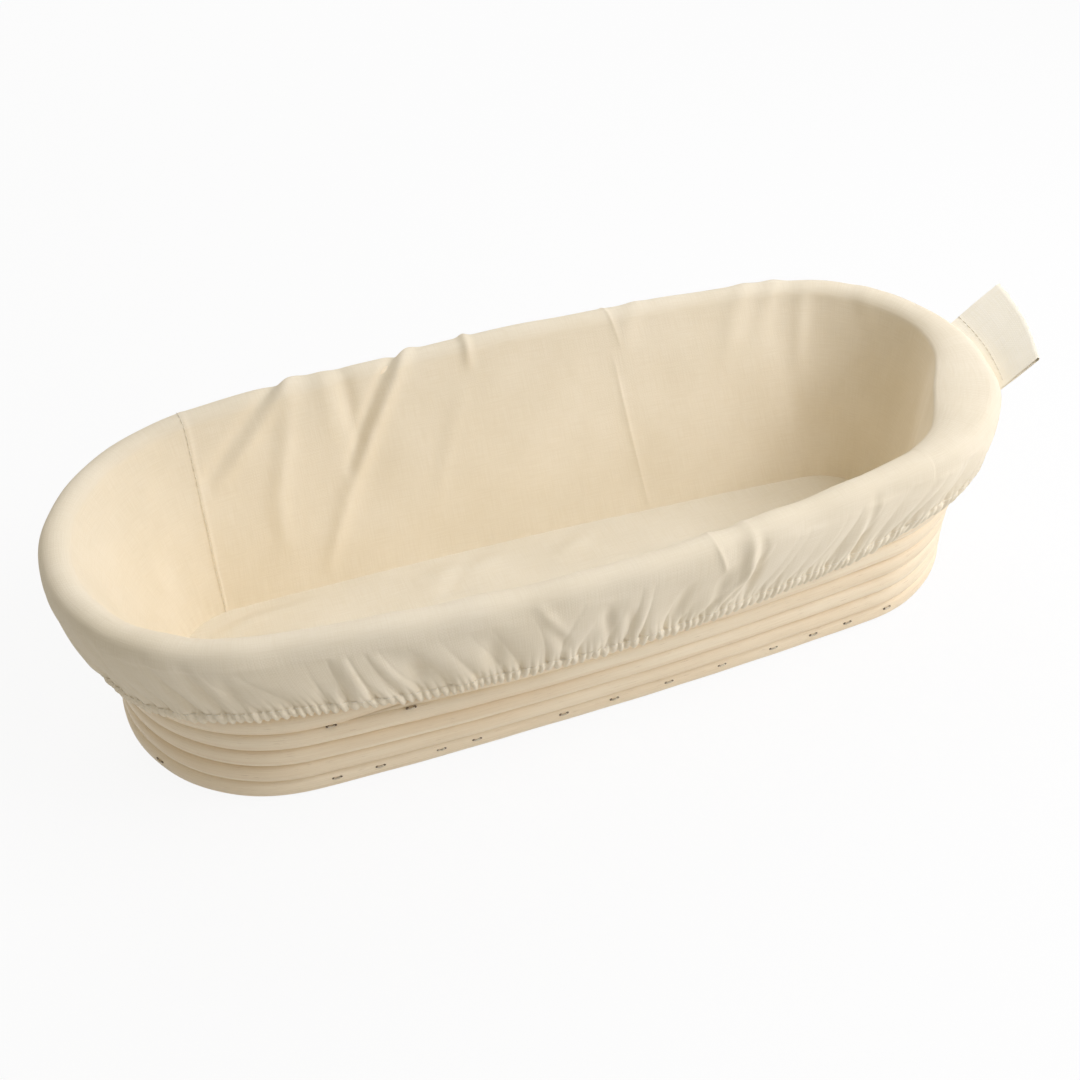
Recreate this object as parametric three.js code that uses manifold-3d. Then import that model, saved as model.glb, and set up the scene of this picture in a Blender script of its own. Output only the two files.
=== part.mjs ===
// Oval proofing basket: rattan cane coiled into a flat base and a low flared wall, with a sewn cloth liner
// that turns over the rim and is drawn in under it by an elastic hem. Millimetres, +Z up. The origin is on the
// standing plane under the middle of the base, and +X runs along the basket towards the label.

import * as THREE from "three";
import { mergeVertices } from "three/addons/utils/BufferGeometryUtils.js";
import Module from "manifold-3d";

const wasm = await Module();
wasm.setup();

// Cane: a round rattan core pressed a little flat where it lies on its neighbours.
const CANE_HEIGHT = 8.7;
const CANE_WIDTH = 8.5;
const CANE_ROUND = 3.2;
const CANE_CREASE = 0.3;

// Base: a straight core cane with a flat coil round it. The outermost turn is the bottom row of the wall.
const BASE_LENGTH = 342;
const BASE_TURNS = 7;
const BASE_BOW = 2.7;

// Wall: rows stacked on the bottom row, in a lower and an upper coil. The sides lean out from the start, and
// the ends draw in a little half-way up before they open to the rim.
const LOWER_ROWS = 3;
const UPPER_ROWS = 5;
const SIDE_FLARE = 8.5;
const SIDE_FLARE_POWER = 0.8;
const END_FLARE = 8.5;
const END_WAIST = 3;
const RIM_BOW = 7;

// Each coil steps from one row to the next on a short ramp, at these shares of a long side.
const BASE_RAMP = [0.28, 0.39];
const LOWER_RAMP = [0.5, 0.75];
const UPPER_RAMP = [0.05, 0.3];
const TAPER_TIP = 0.6;
const TAPER_INSET = 2;

// Wire staples that hold the bottom row to the next turn of the base.
const STAPLE_CROWN = 4.4;
const STAPLE_LEG = 12.5;
const STAPLE_WIRE = 0.9;
const STAPLE_PROUD = 0.35;
const STAPLE_HEIGHT = 5.8;
const STAPLE_CLEARANCE = 0.3;
const SIDE_STAPLES = [0.03, 0.1, 0.2, 0.26, 0.41, 0.5, 0.6, 0.7, 0.8, 0.88, 0.95];
const END_STAPLES = [0.04, 0.68];

// Liner: a floor panel smaller than the base, set in from its ends, and a side band that slopes up from it to the
// rim, turns over the rim from this angle on, and runs down to the hem.
const CLOTH = 0.8;
const FLOOR_END_INSET = 23;
const FLOOR_PANEL_LENGTH = BASE_LENGTH - 2 * FLOOR_END_INSET;
const FLOOR_PANEL_WIDTH = 54;
const LINER_EASE = 1.2;
const RIM_START = THREE.MathUtils.degToRad(150);
const SEAM_GAP = 0.3;
const HEM_BOTTOM = 41.5;
const HEM_HEIGHT = 9.5;
const HEM_EASE = 0.5;
const ELASTIC_WIDTH = 6;
const ELASTIC_THICKNESS = 1.2;

// Label: a woven tape folded double and sewn to the rim at one end of the basket.
const LABEL_WIDTH = 47;
const LABEL_LENGTH = 21;
const LABEL_THICKNESS = 0.5;
const LABEL_LOOP = 1.1;
const LABEL_RISE = THREE.MathUtils.degToRad(45);
const LABEL_BEARING = THREE.MathUtils.degToRad(-12.5);

// Fineness of the faceted curves.
const END_STEPS = 12;
const SIDE_STEPS = 4;
const RIM_STEPS = 7;
const WALL_STEPS = 4;
const LABEL_STEPS = 6;
const FOLD_STEPS = 4;

const RATTAN = new THREE.MeshStandardMaterial({ color: 0xe3c79c, roughness: 0.62, metalness: 0 });
const CLOTH_COTTON = new THREE.MeshStandardMaterial({ color: 0xeee2c8, roughness: 0.95, metalness: 0 });
const ELASTIC = new THREE.MeshStandardMaterial({ color: 0xf2efe6, roughness: 0.8, metalness: 0 });
const LABEL_TAPE = new THREE.MeshStandardMaterial({ color: 0xf4e6cc, roughness: 0.9, metalness: 0 });
const STEEL_WIRE = new THREE.MeshStandardMaterial({ color: 0x8d8a84, roughness: 0.4, metalness: 1 });

const ROW_PITCH = CANE_HEIGHT + CANE_CREASE;
const TURN_PITCH = CANE_WIDTH + CANE_CREASE;
const TOP_ROW = LOWER_ROWS + UPPER_ROWS;
const RIM_MIDDLE = TOP_ROW * ROW_PITCH + CANE_HEIGHT / 2;

// The four arcs of an oval, in the order in which they are walked, counter-clockwise from above.
const RIGHT_END = 0;
const BACK_SIDE = 1;
const LEFT_END = 2;
const FRONT_SIDE = 3;
const ARCS = [RIGHT_END, BACK_SIDE, LEFT_END, FRONT_SIDE];
const arcSteps = (arc) => (arc % 2 ? SIDE_STEPS : END_STEPS);

// An oval of four tangent arcs: half-length, half-width, and how much less than the half-width the ends' radius is.
function oval(halfLength, halfWidth, bow) {
  const endRadius = halfWidth - bow;
  const endCentre = halfLength - endRadius;
  const sideRadius = (endCentre ** 2 + halfWidth ** 2 - endRadius ** 2) / (2 * bow);
  const turn = Math.atan2(sideRadius - halfWidth, endCentre);
  return { halfLength, halfWidth, bow, endRadius, endCentre, sideRadius, turn };
}

const grown = (o, by) => oval(o.halfLength + by, o.halfWidth + by, o.bow);

function mixed(o, p, share) {
  const mix = (a, b) => THREE.MathUtils.lerp(a, b, share);
  return oval(mix(o.halfLength, p.halfLength), mix(o.halfWidth, p.halfWidth), mix(o.bow, p.bow));
}

// Bearing of the outward normal at a share of one arc.
function bearing(o, arc, share) {
  const halfTurn = arc >= LEFT_END ? Math.PI : 0;
  const own = arc % 2 ? o.turn + share * (Math.PI - 2 * o.turn) : (2 * share - 1) * o.turn;
  return own + halfTurn;
}

// Point of the oval at a share of one arc, at a height.
function ovalPoint(o, arc, share, z) {
  const angle = bearing(o, arc, share);
  const facing = arc >= LEFT_END ? -1 : 1;
  const radius = arc % 2 ? o.sideRadius : o.endRadius;
  const centreX = arc % 2 ? 0 : facing * o.endCentre;
  const centreY = arc % 2 ? facing * (o.halfWidth - o.sideRadius) : 0;
  return new THREE.Vector3(centreX + radius * Math.cos(angle), centreY + radius * Math.sin(angle), z);
}

// Point on the straight facet between two steps of an arc, where a piece seats on the faceted cane.
function facetPoint(o, arc, share, z) {
  const steps = arcSteps(arc);
  const step = Math.min(Math.floor(share * steps), steps - 1);
  const from = ovalPoint(o, arc, step / steps, z);
  return from.lerp(ovalPoint(o, arc, (step + 1) / steps, z), share * steps - step);
}

// Steps once round the oval, each as an arc and a share of it.
function roundSteps() {
  return ARCS.flatMap((arc) => Array.from({ length: arcSteps(arc) }, (_, i) => [arc, i / arcSteps(arc)]));
}

// Steps once round the oval from the end of a ramp on one side back to its start.
function rampSteps(side, [rampStart, rampEnd]) {
  const all = roundSteps();
  const first = all.findIndex(([arc]) => arc === side);
  const turned = [...all.slice(first), ...all.slice(0, first)];
  const onSide = turned.filter(([arc]) => arc === side);
  const after = onSide.filter(([, share]) => share > rampEnd);
  const before = onSide.filter(([, share]) => share < rampStart);
  const elsewhere = turned.filter(([arc]) => arc !== side);
  return [[side, rampEnd], ...after, ...elsewhere, ...before, [side, rampStart]];
}

// Outline of the outside of a wall row, counted from 0 at the bottom row. Part rows lie on the ramps.
const BASE_HALF_WIDTH = BASE_TURNS * TURN_PITCH + CANE_WIDTH / 2;
function rowOutline(row) {
  const rise = Math.max(row, 0) / TOP_ROW;
  const drawnIn = END_WAIST * Math.sin(Math.PI * Math.min(rise, 1));
  return oval(
    BASE_LENGTH / 2 + END_FLARE * rise ** 2 - drawnIn,
    BASE_HALF_WIDTH + SIDE_FLARE * rise ** SIDE_FLARE_POWER,
    THREE.MathUtils.lerp(BASE_BOW, RIM_BOW, rise),
  );
}

// Outline of the wall's outside at a height, as a smooth surface over the rows.
const wallOutline = (z) => rowOutline((z - CANE_HEIGHT / 2) / ROW_PITCH);

// Section of a cane as shares of its width, counted inward, and of its height. The corners on the outside and
// on the inside are rounded in their own counts of steps.
function caneSection(outsideSteps, insideSteps) {
  const roundX = CANE_ROUND / CANE_WIDTH;
  const roundZ = CANE_ROUND / CANE_HEIGHT;
  const corners = [[1, 0], [1, 1], [0, 1], [0, 0]];
  return corners.flatMap(([x, z], corner) => {
    const centreX = x ? 1 - roundX : roundX;
    const centreZ = z ? 1 - roundZ : roundZ;
    const steps = x ? insideSteps : outsideSteps;
    return Array.from({ length: steps + 1 }, (_, i) => {
      const angle = (corner - 1 + i / steps) * Math.PI / 2;
      return new THREE.Vector2(centreX + roundX * Math.cos(angle), centreZ + roundZ * Math.sin(angle));
    });
  });
}

// A closed solid skinned over rings of points that have the same count. A ring walks its section
// counter-clockwise seen against the way that the rings follow each other.
function skin(rings, sectionOfCaps) {
  const count = rings[0].length;
  const spans = sectionOfCaps ? rings.length - 1 : rings.length;
  const index = [];
  for (let r = 0; r < spans; r++) {
    const here = r * count;
    const next = ((r + 1) % rings.length) * count;
    for (let i = 0; i < count; i++) {
      const j = (i + 1) % count;
      index.push(here + i, here + j, next + j, here + i, next + j, next + i);
    }
  }
  if (sectionOfCaps) {
    const last = (rings.length - 1) * count;
    for (const [a, b, c] of THREE.ShapeUtils.triangulateShape(sectionOfCaps, [])) {
      index.push(a, c, b, last + a, last + b, last + c);
    }
  }
  const geometry = new THREE.BufferGeometry().setFromPoints(rings.flat());
  geometry.setIndex(index);
  return geometry;
}

// One cane swept along stations. A station gives an outline, the span of the section inward and outward of it,
// and the span in height.
function sweptCane(stations, section) {
  const rings = stations.map(({ arc, share, outline, inner, outer, low, high }) =>
    section.map((p) => ovalPoint(
      grown(outline, THREE.MathUtils.lerp(outer, inner, p.x)), arc, share, THREE.MathUtils.lerp(low, high, p.y),
    )));
  return skin(rings, section);
}

// Flat coil of the base. Its first and last ends taper beside the ramps, so that the coil has no gap or step.
function baseCoil() {
  const coreAxis = oval(BASE_LENGTH / 2 - BASE_HALF_WIDTH, 0, BASE_BOW);
  const station = (arc, share, inner, outer) =>
    ({ arc, share, outline: coreAxis, inner, outer, low: 0, high: CANE_HEIGHT });
  const half = CANE_WIDTH / 2;
  const tip = (TAPER_TIP + CANE_CREASE) / TURN_PITCH;
  const [rampStart, rampEnd] = BASE_RAMP;
  const stations = [];
  const firstTip = THREE.MathUtils.lerp(rampStart, rampEnd, tip);
  stations.push(station(BACK_SIDE, firstTip, TURN_PITCH - half, TURN_PITCH - half + TAPER_TIP));
  for (let turn = 1; turn <= BASE_TURNS; turn++) {
    const middle = turn * TURN_PITCH;
    for (const [arc, share] of rampSteps(BACK_SIDE, BASE_RAMP)) {
      stations.push(station(arc, share, middle - half, middle + half));
    }
  }
  const outside = BASE_TURNS * TURN_PITCH + half;
  const lastTip = THREE.MathUtils.lerp(rampEnd, rampStart, tip);
  stations.push(station(BACK_SIDE, lastTip, outside - TAPER_TIP, outside));
  return sweptCane(stations, caneSection(1, 1));
}

// Wall coil over some rows. Its tapered ends fill the wedges under its first ramp and over its last one, so
// that it stands on a level row and carries a level row.
function wallCoil(firstRow, rows, side, ramp) {
  const station = (arc, share, row, low, high, inset = 0) =>
    ({ arc, share, outline: rowOutline(row), inner: inset - CANE_WIDTH, outer: -inset, low, high });
  const tip = (TAPER_TIP + CANE_CREASE) / ROW_PITCH;
  const [rampStart, rampEnd] = ramp;
  const stations = [];
  const bottom = firstRow * ROW_PITCH;
  const firstTip = THREE.MathUtils.lerp(rampStart, rampEnd, tip);
  stations.push(station(side, firstTip, firstRow, bottom, bottom + TAPER_TIP, TAPER_INSET));
  for (let row = firstRow; row < firstRow + rows; row++) {
    for (const [arc, share] of rampSteps(side, ramp)) {
      stations.push(station(arc, share, row, row * ROW_PITCH, row * ROW_PITCH + CANE_HEIGHT));
    }
  }
  const lastRow = firstRow + rows - 1;
  const top = lastRow * ROW_PITCH + CANE_HEIGHT;
  const lastTip = THREE.MathUtils.lerp(rampEnd, rampStart, tip);
  stations.push(station(side, lastTip, lastRow, top - TAPER_TIP, top, TAPER_INSET));
  return sweptCane(stations, caneSection(2, 1));
}

// Straight cane in the middle of the base, rounded like the coil round it.
function coreCane() {
  const outline = oval(BASE_LENGTH / 2 - BASE_TURNS * TURN_PITCH, CANE_WIDTH / 2, BASE_BOW);
  const edge = outline.endRadius - CANE_CREASE;
  const levels = [[edge, 0], [0, edge], [0, CANE_HEIGHT - edge], [edge, CANE_HEIGHT]];
  const rings = levels.map(([inset, z]) => {
    const inside = grown(outline, -inset);
    return roundSteps().map(([arc, share]) => ovalPoint(inside, arc, share, z));
  });
  const caps = rings[0].map((p) => new THREE.Vector2(p.x, p.y));
  return skin(rings, caps);
}

// U of flat wire, with the crown on +X and the legs towards -X. Grown, it is the slot that the wire needs.
function stapleWire(grownBy, reach) {
  const halfCrown = STAPLE_CROWN / 2 + grownBy;
  const legInside = STAPLE_CROWN / 2 - STAPLE_WIRE - grownBy;
  const crownInside = STAPLE_PROUD - STAPLE_WIRE - grownBy;
  const legEnd = STAPLE_PROUD - STAPLE_LEG - grownBy;
  const shape = new THREE.Shape([
    new THREE.Vector2(reach, -halfCrown),
    new THREE.Vector2(reach, halfCrown),
    new THREE.Vector2(legEnd, halfCrown),
    new THREE.Vector2(legEnd, legInside),
    new THREE.Vector2(crownInside, legInside),
    new THREE.Vector2(crownInside, -legInside),
    new THREE.Vector2(legEnd, -legInside),
    new THREE.Vector2(legEnd, -halfCrown),
  ]);
  const thickness = STAPLE_WIRE + 2 * grownBy;
  const geometry = new THREE.ExtrudeGeometry(shape, { depth: thickness, bevelEnabled: false });
  return geometry.translate(0, 0, -thickness / 2);
}

// Where the staples are driven into the bottom row. Both ends have the same places, and so have both sides.
function staplePlaces() {
  const outline = rowOutline(0);
  return ARCS.flatMap((arc) => (arc % 2 ? SIDE_STAPLES : END_STAPLES).map((share) => ({
    position: facetPoint(outline, arc, share, STAPLE_HEIGHT),
    turn: bearing(outline, arc, share),
  })));
}

// A mesh's geometry as a solid that can be cut.
function solidOf(geometry, position = new THREE.Vector3(), turn = 0) {
  const placed = geometry.clone().rotateZ(turn).translate(position.x, position.y, position.z);
  placed.deleteAttribute("normal");
  placed.deleteAttribute("uv");
  const merged = mergeVertices(placed);
  return new wasm.Manifold(new wasm.Mesh({
    numProp: 3,
    vertProperties: merged.attributes.position.array,
    triVerts: new Uint32Array(merged.index.array),
  }));
}

function geometryOf(solid) {
  const { vertProperties, triVerts } = solid.getMesh();
  const geometry = new THREE.BufferGeometry();
  geometry.setAttribute("position", new THREE.BufferAttribute(vertProperties, 3));
  return geometry.setIndex(new THREE.BufferAttribute(triVerts, 1));
}

// The base coil with a slot for each staple, through the bottom row into the turn inside it.
function slottedBaseCoil(places) {
  const slot = stapleWire(STAPLE_CLEARANCE, STAPLE_WIRE);
  const slots = places.map(({ position, turn }) => solidOf(slot, position, turn));
  return geometryOf(slots.reduce((coil, cut) => coil.subtract(cut), solidOf(baseCoil())));
}

const LINER_FLOOR = ROW_PITCH;
const floorPanel = oval(FLOOR_PANEL_LENGTH / 2, FLOOR_PANEL_WIDTH / 2, BASE_BOW);

// Flat oval panel that lies on the coils of the base.
function linerFloorPanel() {
  const shape = new THREE.Shape(roundSteps().map(([arc, share]) => {
    const p = ovalPoint(floorPanel, arc, share, 0);
    return new THREE.Vector2(p.x, p.y);
  }));
  const geometry = new THREE.ExtrudeGeometry(shape, { depth: CLOTH, bevelEnabled: false });
  return geometry.translate(0, 0, LINER_FLOOR);
}

// One face of the side band as outlines and heights, from the floor seam up the slope, over the rim and down
// the skirt. Depth 0 is the face towards the canes, and depth CLOTH the one that shows.
function bandFace(depth) {
  const rim = rowOutline(TOP_ROW);
  const over = Array.from({ length: RIM_STEPS + 1 }, (_, i) => {
    const angle = RIM_START * (1 - i / RIM_STEPS);
    const reach = CANE_WIDTH / 2 + LINER_EASE + depth;
    const height = CANE_HEIGHT / 2 + LINER_EASE + depth;
    return {
      outline: grown(rim, -CANE_WIDTH / 2 + reach * Math.cos(angle)),
      z: RIM_MIDDLE + height * Math.sin(angle),
    };
  });
  const seam = grown(floorPanel, -depth);
  const seamHeight = LINER_FLOOR + CLOTH + SEAM_GAP;
  const slope = Array.from({ length: WALL_STEPS }, (_, i) => ({
    outline: mixed(seam, over[0].outline, i / WALL_STEPS),
    z: THREE.MathUtils.lerp(seamHeight, over[0].z, i / WALL_STEPS),
  }));
  return [...slope, ...over];
}

const HEM_TOP = HEM_BOTTOM + HEM_HEIGHT;
const HEM_CHANNEL = ELASTIC_THICKNESS + 2 * SEAM_GAP;
const hemOutline = (z, out) => grown(wallOutline(z), HEM_EASE + out);

// The side band's closed profile: along the face that shows, round the hem, and back along the face on the
// canes. The hem is the band's own edge, folded up inside to make a channel for the elastic.
function bandProfile() {
  const fold = HEM_BOTTOM + CLOTH;
  const outside = 2 * CLOTH + HEM_CHANNEL;
  const hem = [
    [HEM_TOP, outside],
    [fold, outside],
    [HEM_BOTTOM, outside - CLOTH],
    [HEM_BOTTOM, CLOTH],
    [fold, 0],
    [HEM_TOP, 0],
    [HEM_TOP, CLOTH],
    [fold, CLOTH],
    [fold, outside - CLOTH],
    [HEM_TOP, outside - CLOTH],
  ];
  return [
    ...bandFace(CLOTH),
    ...hem.map(([z, out]) => ({ outline: hemOutline(z, out), z })),
    ...bandFace(0).reverse(),
  ];
}

// A closed band round the basket from a profile of outlines and heights.
function roundBand(profile) {
  return skin(roundSteps().map(([arc, share]) =>
    profile.map(({ outline, z }) => ovalPoint(outline, arc, share, z))));
}

// Elastic that lies in the channel of the hem.
function hemElastic() {
  const inner = CLOTH + SEAM_GAP;
  const outer = inner + ELASTIC_THICKNESS;
  const low = HEM_BOTTOM + CLOTH + SEAM_GAP;
  const high = low + ELASTIC_WIDTH;
  return roundBand([
    { outline: hemOutline(high, inner), z: high },
    { outline: hemOutline(high, outer), z: high },
    { outline: hemOutline(low, outer), z: low },
    { outline: hemOutline(low, inner), z: low },
  ]);
}

// Section of the folded tape: length out from the seam, and height across the fold.
function labelSection() {
  const root = LABEL_THICKNESS + SEAM_GAP / 2;
  const outside = LABEL_LOOP + LABEL_THICKNESS;
  const bend = LABEL_LENGTH - outside;
  const foldArc = (radius, direction) => Array.from({ length: FOLD_STEPS + 1 }, (_, i) => {
    const angle = direction * Math.PI * (i / FOLD_STEPS - 0.5);
    return new THREE.Vector2(bend + radius * Math.cos(angle), radius * Math.sin(angle));
  });
  return [
    new THREE.Vector2(0, -root),
    ...foldArc(outside, 1),
    new THREE.Vector2(0, root),
    new THREE.Vector2(0, SEAM_GAP / 2),
    ...foldArc(LABEL_LOOP, -1),
    new THREE.Vector2(0, -SEAM_GAP / 2),
  ];
}

// Folded tape sewn along the rim: its seam follows the rim, and it stands out and up in one direction.
function labelLoop() {
  const section = labelSection();
  const seat = LINER_EASE + CLOTH + SEAM_GAP + section.at(0).length() * Math.sin(LABEL_RISE);
  const outline = grown(rowOutline(TOP_ROW), seat);
  const spread = LABEL_WIDTH / outline.endRadius;
  const out = new THREE.Vector3(Math.cos(LABEL_RISE), 0, Math.sin(LABEL_RISE));
  const across = new THREE.Vector3(-Math.sin(LABEL_RISE), 0, Math.cos(LABEL_RISE));
  const rings = Array.from({ length: LABEL_STEPS + 1 }, (_, i) => {
    const angle = LABEL_BEARING + spread * (0.5 - i / LABEL_STEPS);
    const root = ovalPoint(outline, RIGHT_END, (angle / outline.turn + 1) / 2, RIM_MIDDLE);
    return section.map((p) => root.clone().addScaledVector(out, p.x).addScaledVector(across, p.y));
  });
  return skin(rings, section);
}

function mesh(name, geometry, material) {
  const made = new THREE.Mesh(geometry, material);
  made.name = name;
  return made;
}

const basket = new THREE.Group();
const staples = staplePlaces();
basket.add(
  mesh("core_cane", coreCane(), RATTAN),
  mesh("base_coil", slottedBaseCoil(staples), RATTAN),
  mesh("lower_wall_coil", wallCoil(1, LOWER_ROWS, BACK_SIDE, LOWER_RAMP), RATTAN),
  mesh("upper_wall_coil", wallCoil(1 + LOWER_ROWS, UPPER_ROWS, FRONT_SIDE, UPPER_RAMP), RATTAN),
);
staples.forEach(({ position, turn }, i) => {
  const name = `base_staple_${String(i + 1).padStart(2, "0")}`;
  const staple = mesh(name, stapleWire(0, STAPLE_PROUD), STEEL_WIRE);
  staple.position.copy(position);
  staple.rotation.z = turn;
  basket.add(staple);
});

const liner = new THREE.Group();
liner.add(
  mesh("liner_floor_panel", linerFloorPanel(), CLOTH_COTTON),
  mesh("liner_side_band", roundBand(bandProfile()), CLOTH_COTTON),
  mesh("hem_elastic", hemElastic(), ELASTIC),
  mesh("label_loop", labelLoop(), LABEL_TAPE),
);
basket.add(liner);

export default basket;
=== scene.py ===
# Oval proofing basket: coiled rattan cane with a gathered cotton liner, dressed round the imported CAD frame.
# Metres, +Z up. +X runs along the basket towards the label, and -Y is the side that faces the camera.

import math

import bmesh
import bpy
import numpy as np
from mathutils import Matrix, Vector

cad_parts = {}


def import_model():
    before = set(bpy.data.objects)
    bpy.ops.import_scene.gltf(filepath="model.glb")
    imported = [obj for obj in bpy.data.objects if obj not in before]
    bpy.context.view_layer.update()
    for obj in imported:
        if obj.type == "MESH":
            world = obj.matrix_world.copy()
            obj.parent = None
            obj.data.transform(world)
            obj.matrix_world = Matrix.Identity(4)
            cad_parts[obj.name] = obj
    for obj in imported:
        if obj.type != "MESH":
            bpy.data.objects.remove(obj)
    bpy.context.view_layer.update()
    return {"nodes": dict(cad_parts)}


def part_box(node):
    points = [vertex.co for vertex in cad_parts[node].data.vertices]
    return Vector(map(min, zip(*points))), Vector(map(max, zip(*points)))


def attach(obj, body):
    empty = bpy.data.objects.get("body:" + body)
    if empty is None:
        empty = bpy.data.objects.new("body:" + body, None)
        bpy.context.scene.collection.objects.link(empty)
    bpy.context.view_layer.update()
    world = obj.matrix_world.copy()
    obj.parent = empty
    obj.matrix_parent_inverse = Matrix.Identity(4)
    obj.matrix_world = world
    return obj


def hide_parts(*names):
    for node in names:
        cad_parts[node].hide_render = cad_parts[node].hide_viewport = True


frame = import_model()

MM = 0.001

# Cane, measured on the frame
BASE_LOW, BASE_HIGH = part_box("base_coil")
LOWER_LOW, LOWER_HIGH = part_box("lower_wall_coil")
UPPER_LOW, UPPER_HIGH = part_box("upper_wall_coil")
CANE_HEIGHT = BASE_HIGH[2] - BASE_LOW[2]
ROW_PITCH = LOWER_LOW[2] - BASE_LOW[2]
CANE_CREASE = ROW_PITCH - CANE_HEIGHT
CANE_WIDTH = 8.5 * MM
TURN_PITCH = CANE_WIDTH + CANE_CREASE
BASE_TURNS = round((BASE_HIGH[1] - CANE_WIDTH / 2) / TURN_PITCH)
LOWER_ROWS = round((LOWER_HIGH[2] - LOWER_LOW[2]) / ROW_PITCH)
UPPER_ROWS = round((UPPER_HIGH[2] - UPPER_LOW[2]) / ROW_PITCH)
TOP_ROW = LOWER_ROWS + UPPER_ROWS
RIM_MIDDLE = TOP_ROW * ROW_PITCH + CANE_HEIGHT / 2

# Outline of the wall: the bow of its sides at the bottom row and at the rim, and how it opens between them
BASE_BOW = 2.7 * MM
RIM_BOW = 7 * MM
END_WAIST = 3 * MM
END_FLARE = UPPER_HIGH[0] - BASE_HIGH[0]
SIDE_FLARE = UPPER_HIGH[1] - BASE_HIGH[1]
SIDE_FLARE_POWER = 0.8

# The front of the real basket bows out a little more towards the rim, most of all left of its middle
FRONT_BOW = 6 * MM
FRONT_BOW_MIDDLE = -25 * MM
FRONT_BOW_REACH = 165 * MM
FRONT_BOW_START = 40 * MM

# Coils: the shares of a long side on which they step to the next row, their tapered tips and their section
BASE_RAMP = (0.28, 0.39)
LOWER_RAMP = (0.5, 0.75)
UPPER_RAMP = (0.05, 0.3)
TAPER_TIP = 0.6 * MM
TAPER_INSET = 2 * MM
SECTION_POINTS = 22
SECTION_SQUARENESS = 2.8
CANE_WOBBLE = 0.11 * MM

# Liner, measured on the frame
FLOOR_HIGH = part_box("liner_floor_panel")[1]
BAND_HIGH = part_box("liner_side_band")[1]
FLOOR_TOP = FLOOR_HIGH[2]
LINER_FACE = BAND_HIGH[1] - UPPER_HIGH[1]

# Liner, as the photograph shows it: the floor panel lies a little askew, the slope sags, the cloth stands off
# the rim at the right-hand front corner, and the skirt swells before the hem draws it in
FLOOR_TURN = math.radians(-2.6)
FLOOR_SHIFT = -1.5 * MM
FLOOR_LIFT = 0.3 * MM
SLOPE_SAG = 0.4 * MM
RIM_START = math.radians(150)
LOOSE_REACH = 16 * MM
LOOSE_PLACE = -42 * MM
LOOSE_SPREAD = 46 * MM
SKIRT_BULGE = 0.9 * MM

# Hem: the elastic's channel and the edge turned up inside it. The elastic has pulled the hem up unevenly.
# Its course is given by places along the rim and heights, in millimetres, and the elastic's section by its
# corners' distance from the wall and height in the hem, in millimetres.
HEM_EASE = 0.5 * MM
HEM_DEPTH = 3.4 * MM
HEM_INSIDE = 0.4 * MM
HEM_STITCH = 5.4 * MM
HEM_PINCH = 0.6 * MM
HEM_SWELL = 0.7 * MM
HEM_RETURN = 6 * MM
HEM_COURSE = (
    (-85, 58), (0, 54), (80, 47), (160, 43.5), (330, 43), (440, 42), (485, 42.5), (508, 48), (531, 50.5),
    (551, 50), (565, 47.5), (580, 45.3), (642, 43.5), (690, 43.3), (724, 46), (750, 47.7), (765, 49.3),
    (778, 52.5), (790, 55.5),
)
ELASTIC_SECTION = ((1.3, 0.8), (2.1, 0.8), (2.1, 5.2), (1.3, 5.2))

# Soft waves of loose cloth, puckers along the floor seam, and the puffed rim
FLOOR_WAVE = 0.45 * MM
WALL_WAVE = 0.35 * MM
WALL_STREAK = 0.2 * MM
SKIRT_WAVE = 0.5 * MM
SEAM_PUCKER = 0.12 * MM
RIM_PUFF = 0.15 * MM

# How often the bends of loose cloth are eased, and its folds and waves where its parts meet
BEND_PASSES = 40
LIFT_PASSES = 2

# Gathers: the hem's ruffle and the skirt's pleats, with their narrowest and widest. The pleats lean, and on a
# stretch of the rim at the left-hand front they lean the other way.
RUFFLE_WIDTHS = (2.2 * MM, 3.8 * MM)
RUFFLE_DEPTH = 1 * MM
RUFFLE_DROP = 0.9 * MM
RUFFLE_REACH = 2.2 * MM
PLEAT_WIDTHS = (5 * MM, 12 * MM)
PLEAT_DEPTH = 2.3 * MM
PLEAT_REACH = 8.5 * MM
PLEAT_LEAN = -0.4
LEFT_LEAN = 0.65
LEFT_LEAN_START = (400 * MM, 450 * MM)
LEFT_LEAN_END = (600 * MM, 650 * MM)

# Sewing: the stitches, the gaps between them, the thread, and its distance from the closing seam's edge
STITCH_LENGTH = 2.3 * MM
STITCH_GAP = 0.8 * MM
HEM_STITCH_GAP = 0.7 * MM
THREAD_RADIUS = 0.17 * MM
SEAM_TO_THREAD = 1.1 * MM
SEAM_PLACE = 350 * MM

# Lengths along the side cloth's profile, in millimetres, by which the folds inside are placed
SLOPE_RUN = 80
RIM_RUN = 17

# Label: its corners at the rim, on the back and the front side, and at the fold, where the photograph shows
# them, how far it bows out, and how far its leaves lie from its middle at the rim and beyond that at the fold
LABEL_CORNERS = ((180.3, 11.5, 78), (172.2, -32.6, 75.5), (205, 16.2, 89), (190.6, -30.3, 85))
LABEL_BULGE = 2.8 * MM
LABEL_GAP = 0.25 * MM
LABEL_FOLD = 0.5 * MM

# Staples: half a crown, the wire, the size and height in millimetres of the rims of the dents at its ends,
# and the places along the basket of the two that show in the groove over the lower rows, and their depth
STAPLE_HALF = 1.3 * MM
STAPLE_RADIUS = 0.36 * MM
STAPLE_DENT = ((0.6, -0.4), (0.6, 0.02), (0.35, 0.08))
GROOVE_STAPLES = (-103 * MM, -76 * MM)
GROOVE_DEPTH = 1 * MM

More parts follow.
